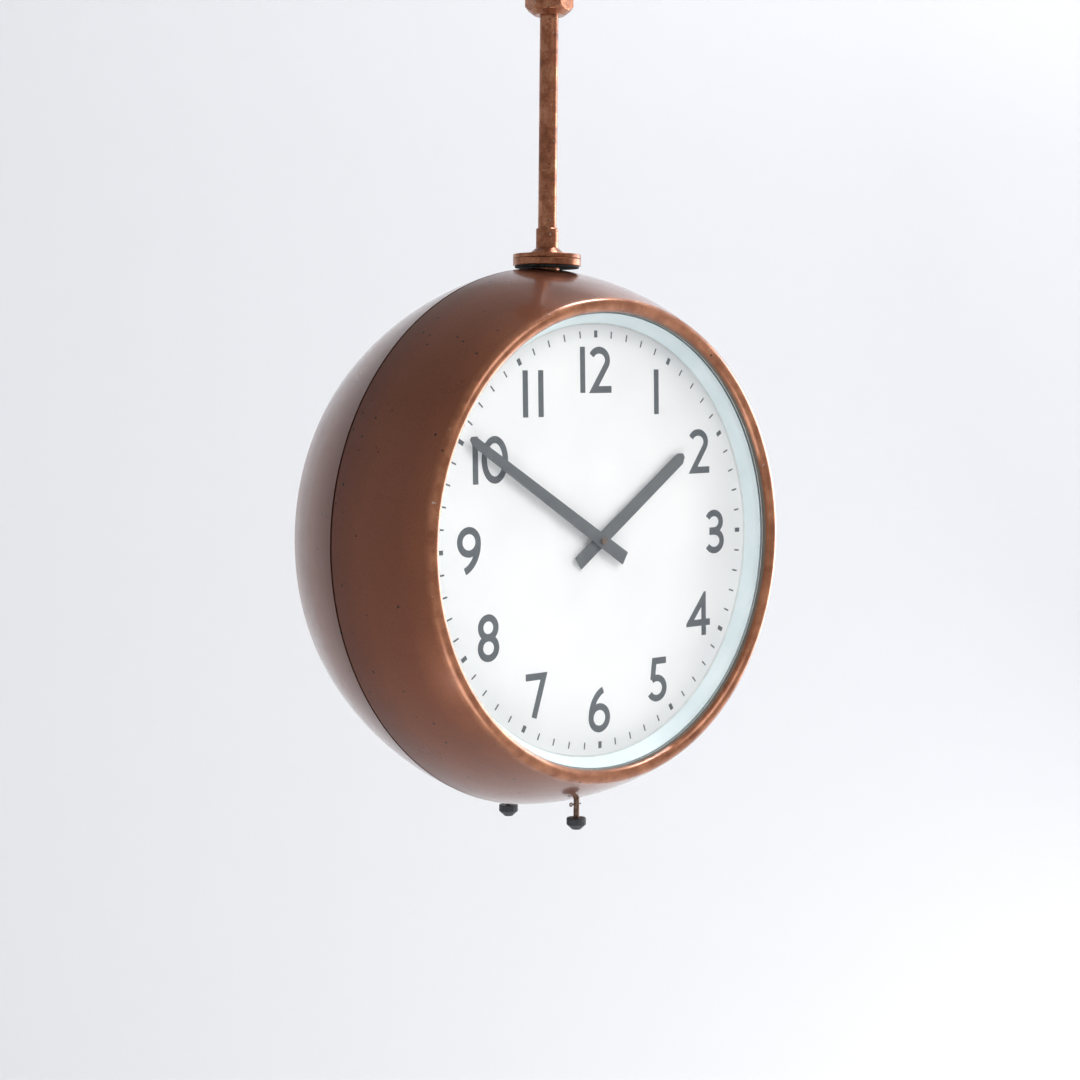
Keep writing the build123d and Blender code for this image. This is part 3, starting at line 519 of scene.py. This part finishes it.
# Dial print: plain upright figures drawn with one pen width, and the minute marks
printLook = {
    "ring": 172, "height": 46, "pen": 6.9, "ink": 0.08, "lift": 0.02, "turn": 1.65,
    "markRing": 207.8, "mark": (1.7, 7.0), "block": (4.5, 7.0),
}


def arc(x, y, across, up, start, end, steps=28):
    turns = [radians(start + (end - start) * i / steps) for i in range(steps + 1)]
    return [(x + across * cos(t), y + up * sin(t)) for t in turns]


# Each figure is a few pen strokes, in millimetres from the figure's middle
figures = {
    "0": [arc(0, 0, 13.6, 19.6, 90, 450, 56)],
    "1": [[(0, 23), (0, -23)]],
    "2": [arc(-1, 9.6, 11.7, 10, 152, -33) + [(-8.8, -19.9), (16, -19.9)]],
    "3": [
        arc(-0.5, 10.4, 10.6, 9.3, 152, -88) + [(-7.4, 1.1)],
        [(-7.4, 0.1)] + arc(-0.2, -9.9, 11.6, 9.9, 88, -150),
    ],
    "4": [[(5.7, -23), (5.7, 17), (-16.2, -9.3), (1.5, -9.3)], [(0.5, -9.3), (15.3, -9.3)]],
    "5": [[(11, 19.1), (-6.4, 19.1), (-9, -0.6)], arc(-3.2, -9.3, 11.4, 10.6, 126, -150)],
    "6": [arc(13, -8, 25.1, 29.5, 108, 178), arc(-0.4, -8.2, 11.7, 11.4, 90, 450, 48)],
    "7": [[(-14.6, 19.2), (9.9, 19.2), (-4.2, -21.6)]],
    "8": [arc(0.4, 10, 9.8, 9.6, 90, 450, 44), arc(0.4, -9.9, 10.4, 10, 90, 450, 44)],
    "9": [arc(-13, 8, 25.1, 29.5, -72, -2), arc(0.3, 8.1, 11.6, 11.3, 90, 450, 48)],
}
spacing = {10: (-13.2, 11.8), 11: (-10.3, 10.3), 12: (-18.7, 5.4)}  # where a pair's figures stand


def penStroke(mesh, points, width, lift):  # a flat ribbon with mitred corners, one edge pushed along
    spots = [Vector((x, y, 0)) * mm for x, y in points]
    closed = (spots[0] - spots[-1]).length < 0.1 * mm
    edge = None
    for index, spot in enumerate(spots):
        before = spots[index - 1] if index else (spots[-2] if closed else None)
        after = spots[index + 1] if index + 1 < len(spots) else (spots[1] if closed else None)
        come = (spot - before).normalized() if before else (after - spot).normalized()
        leave = (after - spot).normalized() if after else come
        mid = (come + leave).normalized()
        side = Vector((-mid.y, mid.x, 0)) * width * mm / 2 / max(mid.dot(come), 0.3)
        left, right = spot + side, spot - side
        if edge is None:
            ends = [mesh.verts.new(left), mesh.verts.new(right)]
            edge = mesh.edges.new(ends)
        else:
            pushed = bmesh.ops.extrude_edge_only(mesh, edges=[edge])["geom"]
            edge = next(g for g in pushed if isinstance(g, bmesh.types.BMEdge))
            ends = sorted(edge.verts, key=lambda v: (v.co - leftBefore).length)
            ends[0].co, ends[1].co = left, right
        leftBefore = left
    for vert in mesh.verts:
        vert.co.z = lift


def inkSheet(strokes, width, clip):  # one figure's strokes, each a hair above the last, given thickness
    sheet = bmesh.new()
    for index, points in enumerate(strokes):
        layer = bmesh.new()
        penStroke(layer, points, width, index * 0.01 * mm)
        bmesh.ops.remove_doubles(layer, verts=layer.verts, dist=1e-6)
        for normal in ((0, 1, 0), (0, -1, 0), (-1, 0, 0)):
            reach = clip[0] if normal[1] else clip[1]
            plane = Vector(normal) * reach * mm
            parts = layer.verts[:] + layer.edges[:] + layer.faces[:]
            bmesh.ops.bisect_plane(layer, geom=parts, plane_co=plane, plane_no=normal, clear_outer=True)
        raised = bmesh.ops.extrude_face_region(layer, geom=layer.faces[:])["geom"]
        top = [g for g in raised if isinstance(g, bmesh.types.BMVert)]
        bmesh.ops.translate(layer, verts=top, vec=(0, 0, printLook["ink"] * mm))
        data = bpy.data.meshes.new("stroke")
        layer.to_mesh(data)
        layer.free()
        sheet.from_mesh(data)
        bpy.data.meshes.remove(data)
    return sheet


def addSheet(whole, sheet, place):
    bmesh.ops.transform(sheet, matrix=place, verts=sheet.verts)
    data = bpy.data.meshes.new("figure")
    sheet.to_mesh(data)
    sheet.free()
    whole.from_mesh(data)
    bpy.data.meshes.remove(data)


def printDial(face):
    look = printLook
    lifted = Matrix.Translation((0, 0, dialFront + look["lift"] * mm))
    numerals = bmesh.new()
    for hour in range(1, 13):
        turn = radians(30 * hour)
        x, y = look["ring"] * sin(turn), look["ring"] * cos(turn)
        for shift, figure in zip(spacing.get(hour, (0,)), str(hour)):
            sheet = inkSheet(figures[figure], look["pen"], (look["height"] / 2 + 0.4, 20.8))
            addSheet(numerals, sheet, Matrix.Translation(((x + shift) * mm, y * mm, 0)))
    bmesh.ops.transform(numerals, matrix=facePlace(face, look["turn"]) @ lifted, verts=numerals.verts)
    finishPiece(face + "Numerals", numerals, "frame", "dialInk", smooth=False)
    marks = bmesh.new()
    for minute in range(60):
        wide, tall = look["mark"] if minute % 5 else look["block"]
        mark = bmesh.new()
        bmesh.ops.create_cube(mark, size=mm)
        bmesh.ops.scale(mark, vec=(wide, tall, look["ink"]), verts=mark.verts)
        up = Matrix.Translation((0, look["markRing"] * mm, look["ink"] * mm / 2))
        addSheet(marks, mark, Matrix.Rotation(-radians(6 * minute), 4, "Z") @ up)
    bmesh.ops.transform(marks, matrix=facePlace(face, look["turn"]) @ lifted, verts=marks.verts)
    finishPiece(face + "MinuteMarks", marks, "frame", "dialInk", smooth=False)


for face in faces:
    printDial(face)
print("dials printed")


# Fluted knob over each thumbscrew: a turned blank whose grip is fluted, in place of the plain one
knobLook = {"flutes": 20, "depth": 0.55, "edge": 0.7, "foot": 0.5, "grip": 0.63, "shoulder": 1.4}


def fluteKnob(face):
    look = knobLook
    low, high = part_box(face + "_screw_knob")
    radius = (high[0] - low[0]) / 2
    centre = Vector(((low[0] + high[0]) / 2, (low[1] + high[1]) / 2, 0))
    knob = bmesh.new()
    tall = high[2] - low[2]
    grip = tall * look["grip"]  # the fluted part, above the tapered foot
    foot = look["foot"] * radius
    edge = look["edge"] * mm
    rings = [  # radius and height of each turn of the blank, from the foot up
        (foot * 0.9, 0), (foot, 0.5 * mm), (radius - look["shoulder"] * mm, tall - grip - 0.6 * mm),
        (radius, tall - grip + 0.6 * mm), (radius, tall - edge), (radius - edge, tall),
    ]
    sides = look["flutes"] * 6
    bmesh.ops.create_circle(knob, cap_ends=True, segments=sides, radius=1)
    for vert in knob.verts:
        vert.co = (vert.co.x * rings[0][0], vert.co.y * rings[0][0], low[2])
    cap = knob.faces[:]
    for index, (wide, up) in enumerate(rings[1:]):
        raised = bmesh.ops.extrude_face_region(knob, geom=cap)["geom"]
        cap = [g for g in raised if isinstance(g, bmesh.types.BMFace)]
        for vert in {v for f in cap for v in f.verts}:
            flat = Vector((vert.co.x, vert.co.y, 0)).normalized()
            turn = Vector((flat.x, flat.y)).angle_signed(Vector((1, 0)), 0)
            cut = look["depth"] * mm * max(0, cos(look["flutes"] * turn)) if index in (2, 3) else 0
            vert.co = flat * (wide - cut)
            vert.co.z = low[2] + up
    bmesh.ops.translate(knob, vec=centre, verts=knob.verts)
    piece = finishPiece(face + "KnobGrip", knob, face + "_thumbscrew", "knobPhenolic")
    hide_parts(face + "_screw_knob")


for face in faces:
    fluteKnob(face)
print("knobs fluted")


# Rivets that hold each hinge leaf to its half-case
rivetLook = {"radius": 2.6, "height": 1.0, "rows": (-36, -12, 12, 36), "set": 24}


def rivetLeaf(face):
    look = rivetLook
    reach = -faces[face] * look["set"] * mm
    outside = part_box(face + "_hinge_leaf")[1][0] + 0.05
    leaf = bmesh.new()
    leaf.from_mesh(nodes[face + "_hinge_leaf"].data)
    bmesh.ops.remove_doubles(leaf, verts=leaf.verts, dist=1e-6)
    skin = BVHTree.FromBMesh(leaf)
    rivets = bmesh.new()
    for row in look["rows"]:
        start = Vector((outside, reach, clockLevel + row * mm))
        hit, normal = skin.ray_cast(start, Vector((-1, 0, 0)))[:2]
        if hit is None:
            continue
        head = bmesh.new()
        bmesh.ops.create_uvsphere(head, u_segments=20, v_segments=10, radius=look["radius"] * mm)
        ball = head.verts[:] + head.edges[:] + head.faces[:]
        bmesh.ops.bisect_plane(
            head, geom=ball, plane_co=(0, 0, 0), plane_no=(0, 0, -1), clear_outer=True
        )
        bmesh.ops.holes_fill(head, edges=[e for e in head.edges if e.is_boundary])
        bmesh.ops.scale(head, vec=(1, 1, look["height"] / look["radius"]), verts=head.verts)
        turn = Vector((0, 0, 1)).rotation_difference(normal).to_matrix().to_4x4()
        addSheet(rivets, head, Matrix.Translation(hit) @ turn)
    leaf.free()
    finishPiece(face + "LeafRivets", rivets, face + "_case", "caseLacquer")


for face in faces:
    rivetLeaf(face)
print("hinge leaves riveted")

# Felt dust strip round the ring, behind the seam between the half-cases
feltLook = {"thick": 2.6, "width": 14, "steps": 90, "neck": 22, "tongue": 9, "foot": 62}


def layFelt():
    look = feltLook
    inner = (ringHigh[0] - ringLow[0]) / 2
    half = look["width"] * mm / 2
    strip = bmesh.new()
    quarter = inner / mm * pi / 2
    # from the top, clockwise: past the neck, stopping at the hinge's foot and at the tongue
    spans = [
        (look["neck"], quarter - look["foot"]),
        (quarter + look["foot"], 2 * quarter - look["tongue"]),
        (2 * quarter + look["tongue"], 4 * quarter - look["neck"]),
    ]
    for start, end in spans:
        begin = start * mm / inner
        corners = [
            strip.verts.new((0, y, inner + rise)) for rise, y in (
                (0.0001, -half), (look["thick"] * mm * 0.8, -half), (look["thick"] * mm, -half * 0.8),
                (look["thick"] * mm, half * 0.8), (look["thick"] * mm * 0.8, half), (0.0001, half),
            )
        ]
        section = strip.faces.new(corners)
        bmesh.ops.rotate(strip, cent=(0, 0, 0), matrix=Matrix.Rotation(begin, 3, "Y"), verts=corners)
        swept = (end - start) * mm / inner
        bmesh.ops.spin(
            strip, geom=[section], cent=(0, 0, 0), axis=(0, 1, 0), angle=swept, steps=look["steps"]
        )
    bmesh.ops.translate(strip, vec=(0, 0, clockLevel), verts=strip.verts)
    finishPiece("dustFelt", strip, "frame", "sealRubber")


layFelt()
print("dust felt laid")

# White felt strip on the back edge of each reveal, which closes the gap round the dial
edgeFeltLook = {"gap": 0.2, "wide": 1.6, "back": 0.8, "front": 0.9, "steps": 144}


def edgeFelt(face):
    look = edgeFeltLook
    inner = (dialHigh[0] - dialLow[0]) / 2 + look["gap"] * mm
    outer = inner + look["wide"] * mm
    back, front = dialFront - look["back"] * mm, dialFront + look["front"] * mm
    strip = bmesh.new()
    section = ((inner, back), (outer, back), (outer, front), (inner, front))
    corners = [strip.verts.new((x, 0, z)) for x, z in section]
    edges = [strip.edges.new((corners[i], corners[i - 1])) for i in range(4)]
    bmesh.ops.spin(
        strip, geom=corners + edges, cent=(0, 0, 0), axis=(0, 0, 1), angle=2 * pi, steps=look["steps"],
        use_merge=True,
    )
    bmesh.ops.transform(strip, matrix=facePlace(face), verts=strip.verts)
    finishPiece(face + "RevealFelt", strip, face + "_case", "edgeFelt")


for face in faces:
    edgeFelt(face)
print("reveals edged with felt")

# Seamless pale paper: a floor that sweeps up into a wall all round
stageLook = {"floor": 4.2, "sweep": 2.4, "top": 5.5, "drop": 1.5, "paint": "#d3d4d6"}


def buildStage():
    look = stageLook
    bowl = bmesh.new()
    floorLevel = clockLevel - look["drop"]
    flat = look["floor"] - look["sweep"]
    profile = [bowl.verts.new((0.001, 0, floorLevel)), bowl.verts.new((flat, 0, floorLevel))]
    for index in range(1, 13):
        turn = radians(90 * index / 12)
        x = flat + look["sweep"] * sin(turn)
        profile.append(bowl.verts.new((x, 0, floorLevel + look["sweep"] * (1 - cos(turn)))))
    profile.append(bowl.verts.new((look["floor"], 0, floorLevel + look["top"])))
    edges = [bowl.edges.new(pair) for pair in zip(profile, profile[1:])]
    bmesh.ops.spin(
        bowl, geom=profile + edges, cent=(0, 0, 0), axis=(0, 0, 1), angle=2 * pi, steps=96, use_merge=True
    )
    bmesh.ops.reverse_faces(bowl, faces=bowl.faces)
    data = bpy.data.meshes.new("paleStage")
    bowl.to_mesh(data)
    bowl.free()
    data.shade_smooth()
    stage = bpy.data.objects.new("paleStage", data)
    bpy.context.scene.collection.objects.link(stage)
    material = bpy.data.materials.new("stagePaint")
    material.use_nodes = True
    paint = material.node_tree.nodes["Principled BSDF"]
    paint.inputs["Base Color"].default_value = linearColour(look["paint"])
    paint.inputs["Roughness"].default_value = 0.9
    dress([stage], material)


buildStage()

# Soft lights: a key above the camera, a soft box on the right, a wash on the paper behind, a little
# bounce from below, and a pale sky over the stage
lightLook = {
    "key": {"place": (0.3, -2.6, 1.7), "aim": (0, 0, -0.6), "size": 1.8, "power": 36, "colour": "#fffdfa"},
    "side": {
        "place": (3.1, -0.5, -0.5), "aim": (0, 0, -0.6), "size": 2.2, "power": 78, "colour": "#fffaf5",
    },
    "wash": {
        "place": (1.9, -0.2, 2.6), "aim": (3.5, 2.0, -0.6), "size": 1.6, "power": 140, "colour": "#fcfcff",
    },
    "bounce": {
        "place": (-0.7, -0.6, -2.0), "aim": (0, 0, -0.7), "size": 1.4, "power": 16, "colour": "#ffffff",
    },
    "sky": ("#f4f5f7", 0.42),
}


def hangLights():
    for name in ("key", "side", "wash", "bounce"):
        look = lightLook[name]
        lamp = bpy.data.lights.new(name, "AREA")
        lamp.shape = "DISK"
        lamp.size = look["size"]
        lamp.energy = look["power"]
        lamp.color = linearColour(look["colour"])[:3]
        light = bpy.data.objects.new(name, lamp)
        light.location = look["place"]
        aim = Vector(look["aim"]) - light.location
        light.rotation_euler = aim.to_track_quat("-Z", "Y").to_euler()
        light.visible_camera = False
        bpy.context.scene.collection.objects.link(light)
    world = bpy.data.worlds.new("sky")
    bpy.context.scene.world = world
    world.use_nodes = True
    sky = world.node_tree.nodes["Background"]
    sky.inputs["Color"].default_value = linearColour(lightLook["sky"][0])
    sky.inputs["Strength"].default_value = lightLook["sky"][1]


hangLights()

# Camera, placed from the front dial's middle
cameraLook = {
    "from": (-1.5682, -1.6157, 0.1146), "bearing": 42.684, "tilt": 2.913, "roll": 0.522, "lens": 74.4,
}


def placeCamera():
    look = cameraLook
    data = bpy.data.cameras.new("camera")
    data.lens = look["lens"]
    data.sensor_width = 36
    data.clip_end = 50
    camera = bpy.data.objects.new("camera", data)
    spin = Matrix.Rotation(-radians(look["bearing"]), 4, "Z")
    tilt = Matrix.Rotation(radians(90 - look["tilt"]), 4, "X")
    roll = Matrix.Rotation(radians(look["roll"]), 4, "Z")
    spot = Vector((0, -dialFront, clockLevel)) + Vector(look["from"])
    camera.matrix_world = Matrix.Translation(spot) @ spin @ tilt @ roll
    bpy.context.scene.collection.objects.link(camera)
    bpy.context.scene.camera = camera
    bpy.context.scene.view_settings.view_transform = "Standard"  # whites stay white


placeCamera()
print("stage, lights and camera set")
